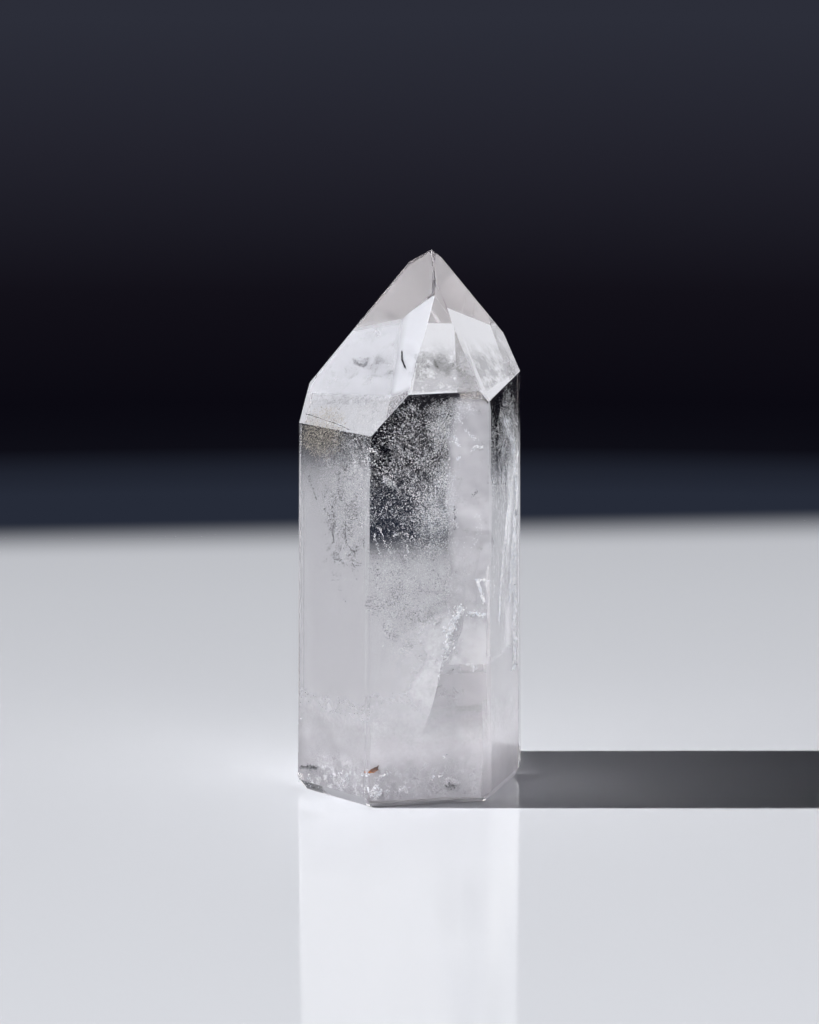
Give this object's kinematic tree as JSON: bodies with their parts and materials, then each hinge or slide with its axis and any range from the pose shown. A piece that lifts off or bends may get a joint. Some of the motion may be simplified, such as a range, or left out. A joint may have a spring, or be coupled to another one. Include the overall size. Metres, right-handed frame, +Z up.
{
  "type": "clear quartz tower",
  "caption": "Clear quartz tower: a polished hexagonal rock crystal column with a faceted point and a flat bevelled base to stand on.",
  "frame": {"origin": "middle of the stone's bounding box, at the level of the flat base", "axes": "+Z up through the point; -Y towards the front face of the picture, +X to its right"},
  "size_m": [0.0336, 0.0332, 0.0799],
  "materials": {
    "quartz": "clear rock crystal with polished faces, see-through, with white veils and fine specks inside",
    "inclusion": "white and grey natural inclusions inside the crystal: veils, specks and healed fractures",
    "iron_fleck": "orange-brown iron oxide fleck inside the crystal"
  },
  "bodies": {
    "root": {"quartz_tower": "quartz"}
  },
  "joints": []
}
